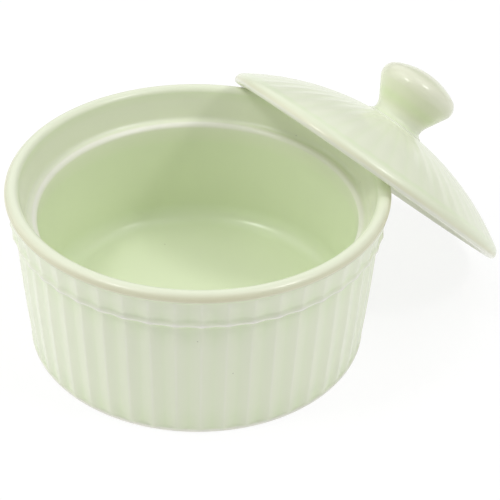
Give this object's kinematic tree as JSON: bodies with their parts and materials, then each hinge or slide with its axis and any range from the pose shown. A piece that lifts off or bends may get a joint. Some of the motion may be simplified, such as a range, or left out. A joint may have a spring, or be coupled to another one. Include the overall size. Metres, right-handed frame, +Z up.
{
  "type": "ramekin with lid",
  "caption": "Round fluted ceramic baking dish with a recessed ledge and beaded band, its shallow domed lid with mushroom knob leaning against the rim.",
  "frame": {"origin": "centre of the dish's foot, in the plane of the table that the dish and the lid's lower edge stand on", "axes": "+Z up along the dish's axis, -Y the front, +X to the right; the lid leans on the rim at the back right, towards +X and +Y"},
  "size_m": [0.1545, 0.1426, 0.0728],
  "materials": {
    "glaze": "glossy pale green glaze"
  },
  "bodies": {
    "root": {"dish": "glaze", "lid": "glaze"}
  },
  "joints": []
}
